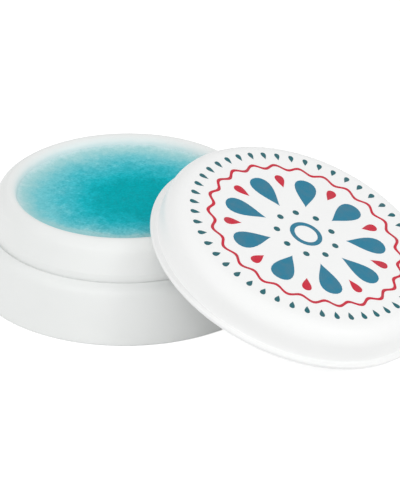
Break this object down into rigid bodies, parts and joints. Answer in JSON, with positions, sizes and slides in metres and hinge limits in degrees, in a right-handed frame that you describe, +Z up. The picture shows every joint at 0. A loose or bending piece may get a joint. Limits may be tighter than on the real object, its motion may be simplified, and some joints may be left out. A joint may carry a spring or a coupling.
{
  "type": "finger moistener",
  "caption": "Round flared plastic jar filled with fingertip-moistening gel, with its shallow push-on lid lifted off and leaning on the rim.",
  "frame": {"origin": "centre of the jar's foot, on the table", "axes": "+Z up along the jar's axis, +X from the jar towards the low side of the leaning lid"},
  "size_m": [0.1009, 0.0658, 0.0293],
  "materials": {
    "jar_plastic": "satin white moulded polypropylene",
    "gel": "translucent turquoise gel, moist and faintly mottled",
    "lid_plastic": "satin white moulded polypropylene with a two-colour print on top"
  },
  "bodies": {
    "jar": {"jar": "jar_plastic", "gel": "gel"},
    "lid": {"lid": "lid_plastic"}
  },
  "joints": [
    {"name": "lid_lift", "type": "slide", "parent": "jar", "child": "lid", "axis": [0.3816, 0, 0.9243], "range_m": [0, 0.04]}
  ]
}
